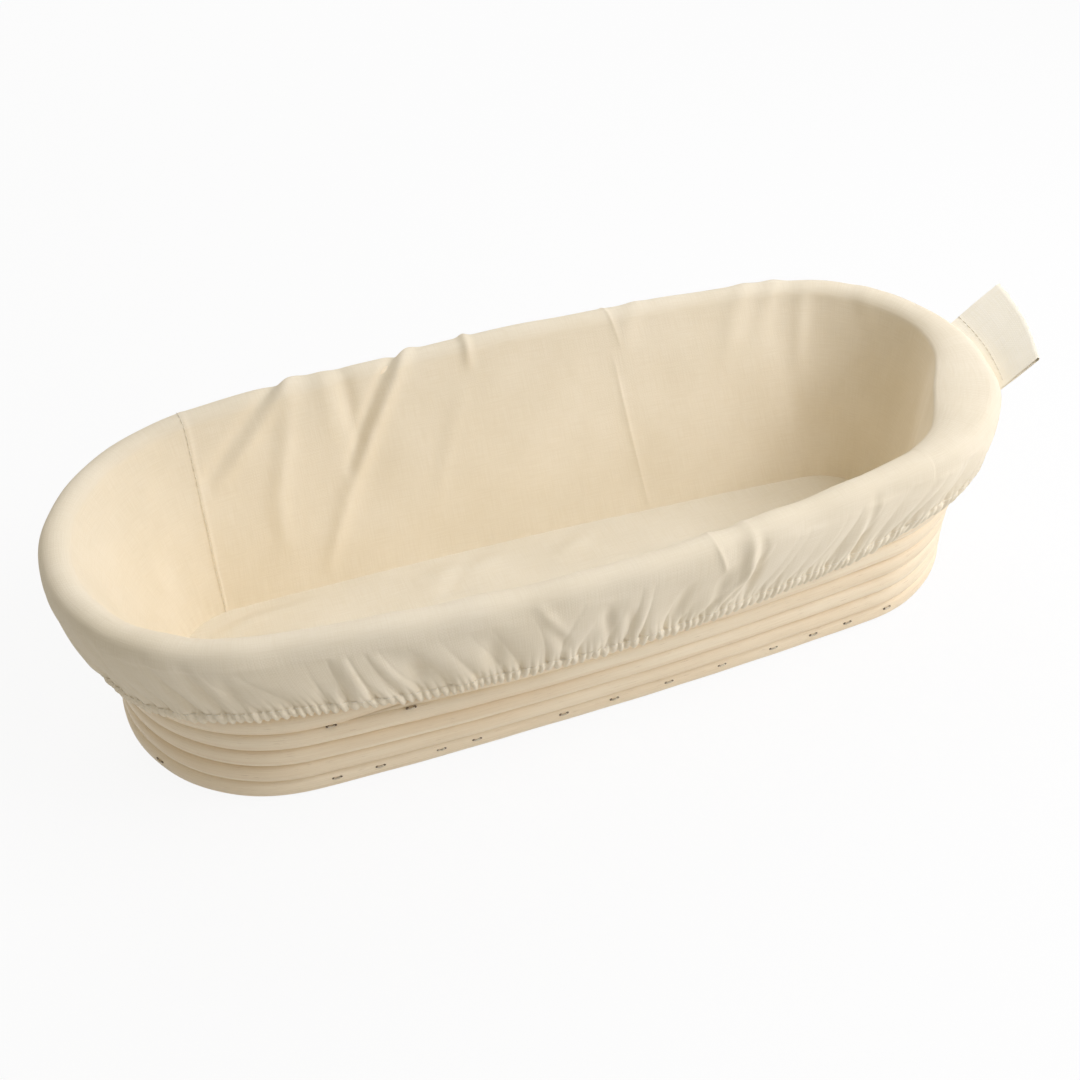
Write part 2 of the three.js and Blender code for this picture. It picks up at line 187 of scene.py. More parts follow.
# Fineness: steps on an end and on a side of the oval, and rows of points across a piece
CORE_STEPS = (24, 12)
CORE_ROWS = 13
WALL_STEPS = (70, 60)
BOTTOM_ROW_STEPS = (90, 90)
CLOTH_STEPS = (440, 580)
SLOPE_ROWS = 52
RIM_ROWS = 26
SKIRT_ROWS = 32
HEM_ROWS = 13
FLOOR_STEPS = (160, 160)
FLOOR_ROWS = 30
ELASTIC_STEPS = (120, 160)
STAPLE_STEPS = (600, 900)
STAPLE_SIDES = 8
STITCH_RINGS = 6
STITCH_SIDES = 6
LABEL_COLUMNS = 41
LEAF_ROWS = 16
FOLD_ROWS = 9

# Four arcs of an oval, walked counter-clockwise from above
RIGHT_END, BACK_SIDE, LEFT_END, FRONT_SIDE = range(4)
ARCS = (RIGHT_END, BACK_SIDE, LEFT_END, FRONT_SIDE)

# Camera and light
CAMERA_LENS = 41.05
CAMERA_SENSOR = 36
CAMERA_AZIMUTH = math.radians(-19.442)
CAMERA_ELEVATION = math.radians(42.225)
CAMERA_ROLL = math.radians(-1.595)
CAMERA_DISTANCE = 482.84 * MM
CAMERA_TARGET = Vector((-4.43, -0.54, 31.54)) * MM
LAMP_TARGET = Vector((0, 0, 40)) * MM


# Outlines

def oval_points(half_length, half_width, bow, arc, share):
    """x and y of an oval of four tangent arcs, at shares of its arcs. All the arguments broadcast."""
    end_radius = half_width - bow
    end_centre = half_length - end_radius
    side_radius = (end_centre ** 2 + half_width ** 2 - end_radius ** 2) / (2 * bow)
    turn = np.arctan2(side_radius - half_width, end_centre)
    on_side = arc % 2 == 1
    angle = np.where(on_side, turn + share * (math.pi - 2 * turn), (2 * share - 1) * turn)
    radius = np.where(on_side, side_radius, end_radius)
    x = np.where(on_side, 0, end_centre) + radius * np.cos(angle)
    y = np.where(on_side, half_width - side_radius, 0) + radius * np.sin(angle)
    facing = np.where(arc >= LEFT_END, -1, 1)
    return facing * x, facing * y


def grown_points(outline, out, arc, share):
    """x and y of an oval whose outline is moved outward."""
    half_length, half_width, bow = outline
    return oval_points(half_length + out, half_width + out, bow, arc, share)


def row_outline(row):
    """Half length, half width and bow of the outside of a wall row, counted from 0 at the bottom."""
    rise = np.maximum(row, 0) / TOP_ROW
    drawn_in = END_WAIST * np.sin(math.pi * np.minimum(rise, 1))
    half_length = BASE_HIGH[0] + END_FLARE * rise ** 2 - drawn_in
    half_width = BASE_HIGH[1] + SIDE_FLARE * rise ** SIDE_FLARE_POWER
    return half_length, half_width, BASE_BOW + (RIM_BOW - BASE_BOW) * rise


def wall_outline(z):
    return row_outline((z - CANE_HEIGHT / 2) / ROW_PITCH)


def round_steps(end_steps, side_steps):
    """Arcs and shares of the steps once round an oval."""
    arcs = []
    shares = []
    for arc in ARCS:
        steps = side_steps if arc % 2 else end_steps
        arcs.extend([arc] * steps)
        shares.extend(i / steps for i in range(steps))
    return np.array(arcs), np.array(shares)


def smooth(low, high, x):
    """0 below low, 1 above high, and a soft rise between them."""
    t = np.clip((x - low) / (high - low), 0, 1)
    return t * t * (3 - 2 * t)


# Arrays

def column(values):
    return np.asarray(values)[:, None]


def grid(*values):
    """Values at the points of a grid, stacked to one array."""
    return np.stack(np.broadcast_arrays(*values), axis=2)


def running(steps):
    """Distances from the start after each of these steps."""
    return np.concatenate([[0], np.cumsum(steps)])


def path_run(path):
    return running(np.linalg.norm(np.diff(path, axis=0), axis=1))


def mean_run(rows):
    """Distances down a grid of points, as the mean of all its columns."""
    return running(np.linalg.norm(np.diff(rows, axis=0), axis=2).mean(axis=1))


def unit(vectors):
    return vectors / np.linalg.norm(vectors, axis=-1, keepdims=True)


# Meshes

def new_object(name, data):
    piece = bpy.data.objects.new(name, data)
    bpy.context.scene.collection.objects.link(piece)
    return piece


def bowed_out(points):
    """Points moved with the front of the wall, which bows out towards the rim."""
    x, y, z = np.asarray(points).reshape(-1, 3).T
    along = np.clip((x - FRONT_BOW_MIDDLE) / FRONT_BOW_REACH, -1, 1)
    in_front = np.clip(-y / FRONT_BOW_START, 0, 1)
    upward = np.clip(z, 0, None) / BAND_HIGH[2]
    bow = FRONT_BOW * np.cos(math.pi / 2 * along) ** 2 * in_front * upward ** 2
    return np.stack([x, y - bow, z], axis=1)


def new_piece(name, points, faces, material):
    mesh = bpy.data.meshes.new(name)
    mesh.from_pydata(bowed_out(points).tolist(), [], faces)
    mesh.update()
    mesh.shade_smooth()
    mesh.materials.append(material)
    piece = new_object(name, mesh)
    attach(piece, "root")
    return piece


def grid_faces(rows, columns, closed):
    """Quads of a grid whose rows may be closed loops. Their normals are rows' way x columns' way."""
    steps = columns if closed else columns - 1
    row, column = np.meshgrid(np.arange(rows - 1), np.arange(steps), indexing="ij")
    row = row.ravel()
    column = column.ravel()
    beside = (column + 1) % columns
    corners = (row * columns + column, (row + 1) * columns + column,
               (row + 1) * columns + beside, row * columns + beside)
    return np.stack(corners, axis=1)


def set_uv(piece, name, uv_of_vertex, wrap=None):
    """A UV map in metres from values at the vertices. Round a loop of length wrap it doesn't jump back."""
    mesh = piece.data
    vertex = np.empty(len(mesh.loops), dtype=np.int64)
    mesh.loops.foreach_get("vertex_index", vertex)
    uv = uv_of_vertex[vertex].copy()
    if wrap:
        start = np.empty(len(mesh.polygons), dtype=np.int64)
        total = np.empty(len(mesh.polygons), dtype=np.int64)
        mesh.polygons.foreach_get("loop_start", start)
        mesh.polygons.foreach_get("loop_total", total)
        highest = np.maximum.reduceat(uv[:, 0], start)
        far = np.repeat(highest, total) - uv[:, 0] > wrap / 2
        uv[far, 0] += wrap
    layer = mesh.uv_layers.new(name=name)
    layer.data.foreach_set("uv", uv.astype(np.float32).ravel())


# Seeded waves that close round a loop

def loop_waves(place, seed, counts):
    """Smooth random function of a place in turns round a loop, about -1 to 1, with these counts of waves."""
    chance = np.random.RandomState(seed)
    total = np.zeros_like(place)
    for count in counts:
        total += math.sqrt(2 / len(counts)) * np.cos(2 * math.pi * (count * place + chance.rand()))
    return total / 1.4


def patch_waves(x, y, seed, wavelengths):
    """Smooth random function of two lengths, about -1 to 1, from plane waves of these lengths."""
    chance = np.random.RandomState(seed)
    total = np.zeros_like(x)
    for wavelength in wavelengths:
        heading = 2 * math.pi * chance.rand()
        phase = 2 * math.pi * chance.rand()
        total += np.cos(2 * math.pi * (x * math.cos(heading) + y * math.sin(heading)) / wavelength + phase)
    return total / math.sqrt(len(wavelengths))


# Material nodes

class Paint:
    """The nodes of a material or a world. Their inputs are given by name or number, as values or sockets."""

    def __init__(self, tree):
        self.nodes = tree.nodes
        self.links = tree.links

    def set(self, socket, value):
        """Links an input to another node's socket, or sets it to a number or a colour."""
        if isinstance(value, bpy.types.NodeSocket):
            self.links.new(value, socket)
        elif socket.type == "RGBA":
            socket.default_value = (*value, 1)
        else:
            socket.default_value = value

    def fill(self, node, inputs):
        for name, value in inputs.items():
            self.set(node.inputs[name], value)

    def add(self, kind, inputs):
        node = self.nodes.new("ShaderNode" + kind)
        self.fill(node, inputs)
        return node

    def uv(self, name):
        node = self.add("UVMap", {})
        node.uv_map = name
        return node.outputs["UV"]

    def position(self):
        return self.add("TexCoord", {}).outputs["Object"]

    def noise(self, uv_name, scale, detail, rough=0.5):
        """Noise stretched over a UV map. scale is its count per metre along and across."""
        mapping = self.add("Mapping", {"Vector": self.uv(uv_name), "Scale": (*scale, 1)})
        place = mapping.outputs["Vector"]
        node = self.add("TexNoise", {"Vector": place, "Scale": 1, "Detail": detail, "Roughness": rough})
        return node.outputs["Fac"]

    def wave(self, place, direction, length):
        """Even waves of this length in one direction."""
        node = self.add("TexWave", {"Vector": place, "Scale": 2 * math.pi / 20 / length, "Distortion": 0})
        node.bands_direction = direction
        return node.outputs["Fac"]

    def ramp(self, value, stops):
        """Colour ramp over a value. Each of its two stops is a place and a linear colour."""
        node = self.add("ValToRGB", {"Fac": value})
        for element, (place, colour) in zip(node.color_ramp.elements, stops):
            element.position = place
            element.color = (*colour, 1)
        return node.outputs["Color"]

    def mix(self, kind, factor, first, second):
        """Mix of two colours."""
        node = self.nodes.new("ShaderNodeMix")
        node.data_type = "RGBA"
        node.blend_type = kind
        inputs = [s for s in node.inputs if s.enabled]
        for socket, value in zip(inputs, (factor, first, second)):
            self.set(socket, value)
        return [s for s in node.outputs if s.enabled][0]

    def maths(self, operation, first, second):
        node = self.add("Math", {0: first, 1: second})
        node.operation = operation
        return node.outputs[0]

    def bump(self, height, strength, distance, under=None):
        node = self.add("Bump", {"Height": height, "Strength": strength, "Distance": distance})
        if under:
            self.fill(node, {"Normal": under})
        return node.outputs["Normal"]

    def any_ray(self, first, *others):
        """1 where the ray is of one of these kinds, and 0 elsewhere."""
        path = self.add("LightPath", {})
        found = path.outputs[first]
        for kind in others:
            found = self.maths("MAXIMUM", found, path.outputs[kind])
        return found


def new_material(name):
    """A new material, its nodes and its shader."""
    material = bpy.data.materials.new(name)
    material.use_nodes = True
    paint = Paint(material.node_tree)
    return material, paint, paint.nodes["Principled BSDF"]


def linear(red, green, blue):
    """Linear colour of an sRGB one given in 0 to 255."""
    def one(value):
        share = value / 255
        return share / 12.92 if share <= 0.04045 else ((share + 0.055) / 1.055) ** 2.4
    return one(red), one(green), one(blue)


# Rattan

def rattan_material():
    material, paint, shader = new_material("rattan")
    tone = paint.noise("grain", (9, 40), 2)
    colour = paint.ramp(tone, [(0.3, linear(242, 220, 185)), (0.7, linear(254, 239, 210))])
    fibre = paint.noise("grain", (45, 2600), 3, 0.6)
    fibre_tint = paint.ramp(fibre, [(0.3, (0.86, 0.81, 0.74)), (0.55, (1, 1, 1))])
    colour = paint.mix("MULTIPLY", 0.45, colour, fibre_tint)
    pore = paint.noise("grain", (160, 3400), 1)
    pore_tint = paint.ramp(pore, [(0.22, (0.5, 0.38, 0.25)), (0.32, (1, 1, 1))])
    colour = paint.mix("MULTIPLY", 0.6, colour, pore_tint)
    fine = paint.bump(fibre, 0.35, 0.12 * MM)
    paint.fill(shader, {"Base Color": colour, "Roughness": 0.5, "Specular IOR Level": 0.4, "Normal": fine})
    return material


def cane_section():
    """Section of a cane as shares of its width, counted inward, and of its height."""
    angle = np.linspace(0, 2 * math.pi, SECTION_POINTS, endpoint=False)
    power = 2 / SECTION_SQUARENESS
    across = np.sign(np.cos(angle)) * np.abs(np.cos(angle)) ** power
    upward = np.sign(np.sin(angle)) * np.abs(np.sin(angle)) ** power
    return 0.5 - across / 2, 0.5 + upward / 2


def ramp_steps(side, ramp_shares, end_steps, side_steps):
    """Steps once round from the end of a ramp on one side back to its start."""
    ramp_start, ramp_end = ramp_shares
    arcs, shares = round_steps(end_steps, side_steps)
    first = int(np.argmax(arcs == side))
    steps = list(zip(np.roll(arcs, -first), np.roll(shares, -first)))
    after = [step for step in steps if step[0] == side and step[1] > ramp_end]
    before = [step for step in steps if step[0] == side and step[1] < ramp_start]
    elsewhere = [step for step in steps if step[0] != side]
    return [(side, ramp_end), *after, *elsewhere, *before, (side, ramp_start)]


def cane_piece(name, points, uv, material, node):
    """A cane from rows of points, closed at both ends."""
    rows, columns = points.shape[:2]
    faces = grid_faces(rows, columns, True).tolist()
    faces.append(list(range(columns)))
    faces.append(list(range((rows - 1) * columns, rows * columns)))
    piece = new_piece(name, points, faces, material)
    set_uv(piece, "grain", uv)
    outward_faces(piece)
    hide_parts(node)
    return piece


def swept_cane(name, stations, seed, material, node):
    """One cane through stations of arc, share and section: outline, inner and outer reach, low and high."""
    arc = column([s[0] for s in stations])
    share = column([s[1] for s in stations])
    *outline, inner, outer, low, high = (column([s[2][i] for s in stations]) for i in range(7))
    inward, upward = cane_section()
    middle = np.concatenate(grown_points(outline, outer, arc, share), axis=1)
    along = column(path_run(middle))
    sway = patch_waves(along, np.zeros_like(along), seed, [47 * MM, 71 * MM, 113 * MM, 29 * MM])
    reach = outer + (inner - outer) * inward + CANE_WOBBLE * sway * (1 - inward)
    points = grid(*grown_points(outline, reach, arc, share), low + (high - low) * upward)
    around = np.arange(SECTION_POINTS) / SECTION_POINTS * 4 * CANE_HEIGHT
    uv = grid(along, around).reshape(-1, 2)
    return cane_piece(name, points, uv, material, node)


def outward_faces(piece):
    mesh = bmesh.new()
    mesh.from_mesh(piece.data)
    bmesh.ops.recalc_face_normals(mesh, faces=mesh.faces)
    mesh.to_mesh(piece.data)
    mesh.free()


def coil(name, node, side, ramp_shares, pitch, rows, tips, seed, material):
    """One cane through rows, each with its steps and section, and with its two tips on the ramps."""
    ramp_start, ramp_end = ramp_shares
    on_ramp = (TAPER_TIP + CANE_CREASE) / pitch * (ramp_end - ramp_start)
    stations = [(side, ramp_start + on_ramp, tips[0])]
    for steps, section in rows:
        stations.extend((arc, share, section) for arc, share in ramp_steps(side, ramp_shares, *steps))
    stations.append((side, ramp_end - on_ramp, tips[1]))
    return swept_cane(name, stations, seed, material, node)


def base_coil(material):
    half = CANE_WIDTH / 2
    core = (BASE_HIGH[0] - BASE_HIGH[1], 0, BASE_BOW)

    def section(inner, outer):
        return *core, inner, outer, 0, CANE_HEIGHT

    rows = []
    for turn in range(1, BASE_TURNS + 1):
        middle = turn * TURN_PITCH
        steps = BOTTOM_ROW_STEPS if turn == BASE_TURNS else (10 + 4 * turn, 40)
        rows.append((steps, section(middle - half, middle + half)))
    inside = TURN_PITCH - half
    outside = BASE_TURNS * TURN_PITCH + half
    tips = section(inside, inside + TAPER_TIP), section(outside - TAPER_TIP, outside)
    return coil("base_coil_cane", "base_coil", BACK_SIDE, BASE_RAMP, TURN_PITCH, rows, tips, 11, material)


def wall_coil(name, node, first_row, count, side, ramp_shares, seed, material):
    def section(row, low, high, inset=0):
        return *row_outline(row), inset - CANE_WIDTH, -inset, low, high

    rows = []
    for row in range(first_row, first_row + count):
        low = row * ROW_PITCH
        rows.append((WALL_STEPS, section(row, low, low + CANE_HEIGHT)))
    bottom = first_row * ROW_PITCH
    last_row = first_row + count - 1
    top = last_row * ROW_PITCH + CANE_HEIGHT
    tips = (section(first_row, bottom, bottom + TAPER_TIP, TAPER_INSET),
            section(last_row, top - TAPER_TIP, top, TAPER_INSET))
    return coil(name, node, side, ramp_shares, ROW_PITCH, rows, tips, seed, material)


def core_cane(material):
    """Straight cane in the middle of the base, rounded like the coil round it."""
    half_width = CANE_WIDTH / 2
    outline = (BASE_HIGH[0] - BASE_TURNS * TURN_PITCH, half_width, BASE_BOW)
    angle = column(np.linspace(-math.pi / 2, math.pi / 2, CORE_ROWS))
    power = 2 / SECTION_SQUARENESS
    edge = half_width - BASE_BOW - CANE_CREASE
    inset = -edge * (1 - np.cos(angle) ** power)
    z = CANE_HEIGHT / 2 * (1 + np.sign(angle) * np.abs(np.sin(angle)) ** power)
    points = grid(*grown_points(outline, inset, *round_steps(*CORE_STEPS)), z)
    uv = points.reshape(-1, 3)[:, :2]
    return cane_piece("core_cane_straight", points, uv, material, "core_cane")


# Cloth

def cotton_material(name, light, dark):
    """Plain-weave unbleached cotton. Its UV map runs along the two threads, in metres."""
    material, paint, shader = new_material(name)
    thread_pitch = 0.62 * MM
    place = paint.uv("weave")
    waves = [paint.maths("SUBTRACT", paint.wave(place, way, 2 * thread_pitch), 0.5) for way in ("X", "Y")]
    weave = paint.maths("MULTIPLY", *waves)
    warp = paint.noise("weave", (90, 2600), 2)
    weft = paint.noise("weave", (2600, 90), 2)
    slub = paint.maths("MULTIPLY", warp, weft)
    colour = paint.ramp(slub, [(0.14, dark), (0.34, light)])
    blotch = paint.noise("weave", (28, 28), 3)
    blotch_tint = paint.ramp(blotch, [(0.3, (0.955, 0.945, 0.92)), (0.65, (1, 1, 1))])
    colour = paint.mix("MULTIPLY", 1, colour, blotch_tint)
    threads = paint.bump(weave, 0.3, 0.12 * MM)
    uneven = paint.bump(slub, 0.35, 0.25 * MM, threads)
    paint.fill(shader, {"Base Color": colour, "Roughness": 0.92, "Specular IOR Level": 0.15,
                        "Sheen Weight": 0.12, "Sheen Roughness": 0.5, "Normal": uneven})
    return material


class Fold:
    """A fold in the cloth: its path as places and levels in millimetres, and its width and height."""

    def __init__(self, path, width, height, sharp=False):
        self.path = np.array(path) * MM
        self.width = width * MM
        self.height = height * MM
        self.sharp = sharp

    def rise(self, place, level, around):
        """How far the fold lifts the cloth at these places and levels. around is the length of the loop."""
        start = self.path[0, 0]
        ahead = (place - start + around / 2) % around - around / 2
        nearest = np.full(place.shape, np.inf)
        share = np.zeros(place.shape)
        spans = len(self.path) - 1
        for i in range(spans):
            p = self.path[i] - (start, 0)
            way = self.path[i + 1] - self.path[i]
            t = np.clip(((ahead - p[0]) * way[0] + (level - p[1]) * way[1]) / (way @ way), 0, 1)
            gap = np.hypot(ahead - p[0] - t * way[0], level - p[1] - t * way[1])
            closer = gap < nearest
            nearest = np.where(closer, gap, nearest)
            share = np.where(closer, (i + t) / spans, share)
        across = nearest / self.width
        shape = np.exp(-1.6 * across) if self.sharp else np.exp(-across ** 2)
        taper = np.sqrt(np.clip(np.sin(math.pi * (0.06 + 0.88 * share)), 0, 1))
        return self.height * shape * taper


# Folds that the photograph shows. Inside, they are placed by millimetres along the rim and up from the floor
# seam, and outside by millimetres along the rim and height.
WALL_FOLDS = [
    Fold([(305, 92), (327, 72), (344, 56)], 3.2, -2),
    Fold([(298, 93), (321, 73), (338, 57)], 3.6, 1.9),
    Fold([(304, 88), (312, 62), (319, 40), (319, 24)], 4, 1.5),
    Fold([(251, 94), (270, 68), (284, 46)], 3, 2.2),
    Fold([(279, 56), (292, 34), (304, 9)], 3.2, 1.8),
    Fold([(257, 94), (276, 68), (289, 46)], 2.2, -2),
    Fold([(270, 64), (283, 36), (292, 16)], 8, -1),
    Fold([(283, 87), (284, 58)], 3.5, -1.5),
    Fold([(291, 90), (292, 64)], 4, 0.9),
    Fold([(230, 96), (232, 76)], 2.2, 1.3),
    Fold([(238, 64), (252, 36), (258, 22)], 3.2, 0.6),
    Fold([(244, 58), (216, 61), (190, 66)], 1.7, 0.35, True),
    Fold([(171, 94), (167, 72)], 1.8, 0.6, True),
    Fold([(154, 93), (165, 72)], 4, 0.8),
    Fold([(171, 65), (171, 33), (170, 2)], 2, 0.6, True),
    Fold([(105, 93), (114, 76), (123, 58)], 4, 0.9),
    Fold([(90, 95), (106, 64)], 4, 0.9),
    Fold([(79, 85), (87, 54)], 4.5, 0.9),
    Fold([(54, 95), (47, 75)], 5, 0.5),
]
CLOSING_SEAM = Fold([(346, 98), (349, 54), (351, 20), (350, -4)], 1.3, 0.32)
SKIRT_FOLDS = [
    Fold([(484, 76), (486, 52)], 3.2, -1.5),
    Fold([(506, 77), (512, 55)], 2.6, -1.5),
    Fold([(519, 76), (521, 57)], 2.7, -1.8),
    Fold([(530, 72), (528, 56)], 2.4, -1.2),
    Fold([(588, 68), (587, 54)], 3.2, -1.7),
    Fold([(614, 68), (613, 54)], 3.2, -1.5),
    Fold([(631, 79), (639, 63)], 2.1, 0.7),
    Fold([(635, 67), (640, 54)], 2.4, -1),
    Fold([(654, 70), (656, 52)], 2.2, -1.2),
    Fold([(662, 65), (665, 54)], 2.1, -0.8),
    Fold([(684, 67), (681, 53)], 2.4, -1),
    Fold([(699, 67), (696, 52)], 2.4, -1),
    Fold([(694, 82), (698, 71)], 1.6, 0.8, True),
    Fold([(701, 82), (704, 70)], 3.2, -0.5),
    Fold([(708, 81), (707, 62)], 2.4, 1.2),
    Fold([(712, 77), (711, 52)], 2.1, -1.4),
    Fold([(759, 77), (759, 54)], 2.2, -1.2),
]
# On the floor they are placed by millimetres along and across the basket.
FLOOR_FOLDS = [
    Fold([(-43, 5), (-35, 13), (-25, 22)], 4, -1.2),
    Fold([(-46, 16), (-16, 16)], 6, 1.8),
    Fold([(-132, 16), (-117, 20), (-92, 22)], 3.5, 1.4),
    Fold([(7, 9), (22, 16)], 4.5, 1.5),
]


def rim_places(arc, share):
    """Places of steps along the rim, from 0 in the middle of the right-hand end, and its whole length."""
    x, y = grown_points(row_outline(TOP_ROW), LINER_FACE, arc, share)
    steps = np.hypot(np.roll(x, -1) - x, np.roll(y, -1) - y)
    place = running(steps)[:-1]
    end_middle = place[(arc == RIGHT_END) & (np.abs(share - 0.5) < 1e-6)][0]
    return place - end_middle, steps.sum()


def hem_bottom(place, around):
    """Height of the hem's lower edge at places along the rim, eased over its corners."""
    at, height = np.array(HEM_COURSE).T * MM
    nearby = np.linspace(-10 * MM, 10 * MM, 9)
    return sum(np.interp(place + step, at, height, period=around) for step in nearby) / len(nearby)


def turned(x, y, angle, shift):
    """Points turned about the middle of the basket and shifted across it."""
    return x * np.cos(angle) - y * np.sin(angle), x * np.sin(angle) + y * np.cos(angle) + shift


class Band:
    """The side cloth's smooth shape as rows of points, with the part and the level of each row."""

    def __init__(self, arc, share, place, around):
        self.arc = arc[None, :]
        self.share = share[None, :]
        self.rows = []
        self.parts = []
        self.levels = []
        self.free = []
        ahead = (place - LOOSE_PLACE + around / 2) % around - around / 2
        self.loose = LOOSE_REACH * np.exp(-(ahead / LOOSE_SPREAD) ** 2)[None, :]
        self.bottom = hem_bottom(place, around)[None, :]
        self.slope()
        self.rim()
        self.skirt()
        self.hem()

    def add(self, part, outline, out, z, level, free=0):
        x, y = grown_points(outline, out, self.arc, self.share)
        self.add_points(part, x, y, z, level, free)

    def add_points(self, part, x, y, z, level, free=0):
        """Rows of points, with their part and level, and how freely they hang: 0 for not, 1 for wholly."""
        points = grid(x, y, z)
        self.rows.append(points)
        self.parts.extend([part] * len(points))
        self.levels.extend(np.broadcast_to(level, (len(points), 1))[:, 0] * MM)
        self.free.extend(np.broadcast_to(free, (len(points), 1))[:, 0])

    def eased_points(self, passes):
        """All rows of points, with the bends eased where the cloth hangs freely."""
        points = np.concatenate(self.rows)
        free = np.array(self.free)[1:-1, None, None]
        for _ in range(passes):
            points[1:-1] += free * (points[:-2] + points[2:] - 2 * points[1:-1]) / 4
        return points

    def rim_section(self, angle):
        """Reach and height of the cloth over the rim. Inside the crest it is loose at one corner."""
        loose = self.loose * np.clip(-np.cos(angle), 0, 1)
        out = (CANE_WIDTH / 2 + LINER_FACE) * np.cos(angle) - CANE_WIDTH / 2 - loose
        return out, RIM_MIDDLE + (CANE_HEIGHT / 2 + LINER_FACE) * np.sin(angle)

    def slope(self):
        """From the floor seam up to where the cloth starts to turn over the rim."""
        rise = column(np.linspace(0, 1, SLOPE_ROWS, endpoint=False))
        top_out, top_z = self.rim_section(RIM_START)
        rim = row_outline(TOP_ROW)
        sag = -SLOPE_SAG * np.sin(math.pi * rise)
        half_length = FLOOR_HIGH[0] + (rim[0] + top_out - FLOOR_HIGH[0]) * rise - sag
        half_width = FLOOR_HIGH[1] + (rim[1] + top_out - FLOOR_HIGH[1]) * rise - sag
        bow = BASE_BOW + (RIM_BOW - BASE_BOW) * rise
        x, y = oval_points(half_length, half_width, bow, self.arc, self.share)
        x, y = turned(x, y, FLOOR_TURN * (1 - rise), FLOOR_SHIFT * (1 - rise))
        self.add_points("slope", x, y, FLOOR_TOP + (top_z - FLOOR_TOP) * rise, SLOPE_RUN * rise)

    def rim(self):
        share = column(np.linspace(0, 1, RIM_ROWS))
        angle = RIM_START * (1 - share)
        out, z = self.rim_section(angle)
        free = smooth(math.radians(60), math.radians(10), angle)
        self.add("rim", row_outline(TOP_ROW), out, z, SLOPE_RUN + RIM_RUN * share, free)

    def skirt(self):
        share = column(np.linspace(0, 1, SKIRT_ROWS)[1:])
        stitch_z = self.bottom + HEM_STITCH
        rim = row_outline(TOP_ROW)
        hem = wall_outline(stitch_z)
        outline = [r * (1 - share) + h * share for r, h in zip(rim, hem)]
        bulge = SKIRT_BULGE * np.sin(math.pi * share ** 0.8)
        out = LINER_FACE * (1 - share) + (HEM_EASE + HEM_DEPTH - HEM_PINCH) * share + bulge
        z = RIM_MIDDLE * (1 - share) + stitch_z * share
        self.add("skirt", outline, out, z, SLOPE_RUN + RIM_RUN, 1 - smooth(0.7, 1, share))

    def hem(self):
        """The stitched channel of the elastic, the folded edge, and the edge that is turned up inside."""
        share = column(np.linspace(0, 1, HEM_ROWS)[1:])
        fold_z = self.bottom + HEM_SWELL
        z = self.bottom + HEM_STITCH + (HEM_SWELL - HEM_STITCH) * share
        out = HEM_EASE + HEM_DEPTH - HEM_PINCH + HEM_SWELL * np.sin(math.pi * share ** 0.9)
        self.add("hem", wall_outline(z), out, z, SLOPE_RUN + RIM_RUN)
        angle = column(np.linspace(0, math.pi, 8)[1:])
        radius = (HEM_DEPTH - HEM_PINCH - HEM_INSIDE) / 2
        out = HEM_EASE + HEM_INSIDE + radius * (1 + np.cos(angle))
        z = fold_z - HEM_SWELL * np.sin(angle)
        self.add("turn", wall_outline(z), out, z, SLOPE_RUN + RIM_RUN)
        z = fold_z + (HEM_RETURN - HEM_SWELL) * column(np.linspace(0, 1, 5)[1:])
        self.add("return", wall_outline(z), HEM_EASE + HEM_INSIDE, z, SLOPE_RUN + RIM_RUN)


class Lobes:
    """Ridges of random widths side by side round the loop, with tight valleys between them."""

    def __init__(self, around, seed, widths, lowest):
        narrow, wide = widths
        chance = np.random.RandomState(seed)
        widths = chance.uniform(narrow, wide, round(2 * around / (narrow + wide)))
        self.around = around
        self.edges = running(widths) * around / widths.sum()
        self.heights = chance.uniform(lowest, 1.2, len(widths))
        self.reaches = chance.uniform(0.4, 1.7, len(widths))

    def at(self, place):
        """Height of the ridge at each place, and how far up it reaches, both as shares of the usual."""
        where = place % self.around
        index = np.clip(np.searchsorted(self.edges, where, side="right") - 1, 0, len(self.heights) - 1)
        share = (where - self.edges[index]) / (self.edges[index + 1] - self.edges[index])
        ridge = 1 - np.abs(2 * share - 1) ** 2.2
        return self.heights[index] * ridge, self.reaches[index]


def hem_ruffle(place, around, z):
    """The ruffle of the gathered hem, 0 in its valleys and about 1 on its lobes."""
    lean = 0.14 * loop_waves(place / around, 4, [3, 7, 12])
    up_hem = z - hem_bottom(place, around)
    return Lobes(around, 5, RUFFLE_WIDTHS, 0.7).at(place + lean * up_hem)[0]


def skirt_lift(place, around, z, hem):
    """How far the elastic's gathers and the folds above them lift the skirt and the hem."""
    turns = place / around
    above = z - hem_bottom(place, around) - HEM_STITCH
    up_skirt = np.clip(above, 0, 1)
    where = place % around
    at_left = smooth(*LEFT_LEAN_START, where) * (1 - smooth(*LEFT_LEAN_END, where))
    lean = 0.25 * loop_waves(turns, 8, [3, 7, 12, 19]) + PLEAT_LEAN + LEFT_LEAN * at_left
    ruffle = hem_ruffle(place, around, z) - 0.55
    pinch = 1 - 0.45 * np.exp(-(above / (0.8 * MM)) ** 2)
    lift = RUFFLE_DEPTH * ruffle * pinch * np.where(hem, 1, np.exp(-up_skirt / RUFFLE_REACH))
    pleat, reach = Lobes(around, 6, PLEAT_WIDTHS, 0.4).at(place + lean * up_skirt)
    onset = smooth(-3 * MM, 1.5 * MM, above)
    lift = lift + PLEAT_DEPTH * (pleat - 0.5) * onset * np.exp(-up_skirt / (PLEAT_REACH * reach))
    broad = loop_waves(turns + 0.002 * lean * above / MM, 7, [23, 31, 37, 44, 53])
    return lift + SKIRT_WAVE * broad * smooth(0, 6 * MM, above) * (1 - smooth(12 * MM, 30 * MM, above))


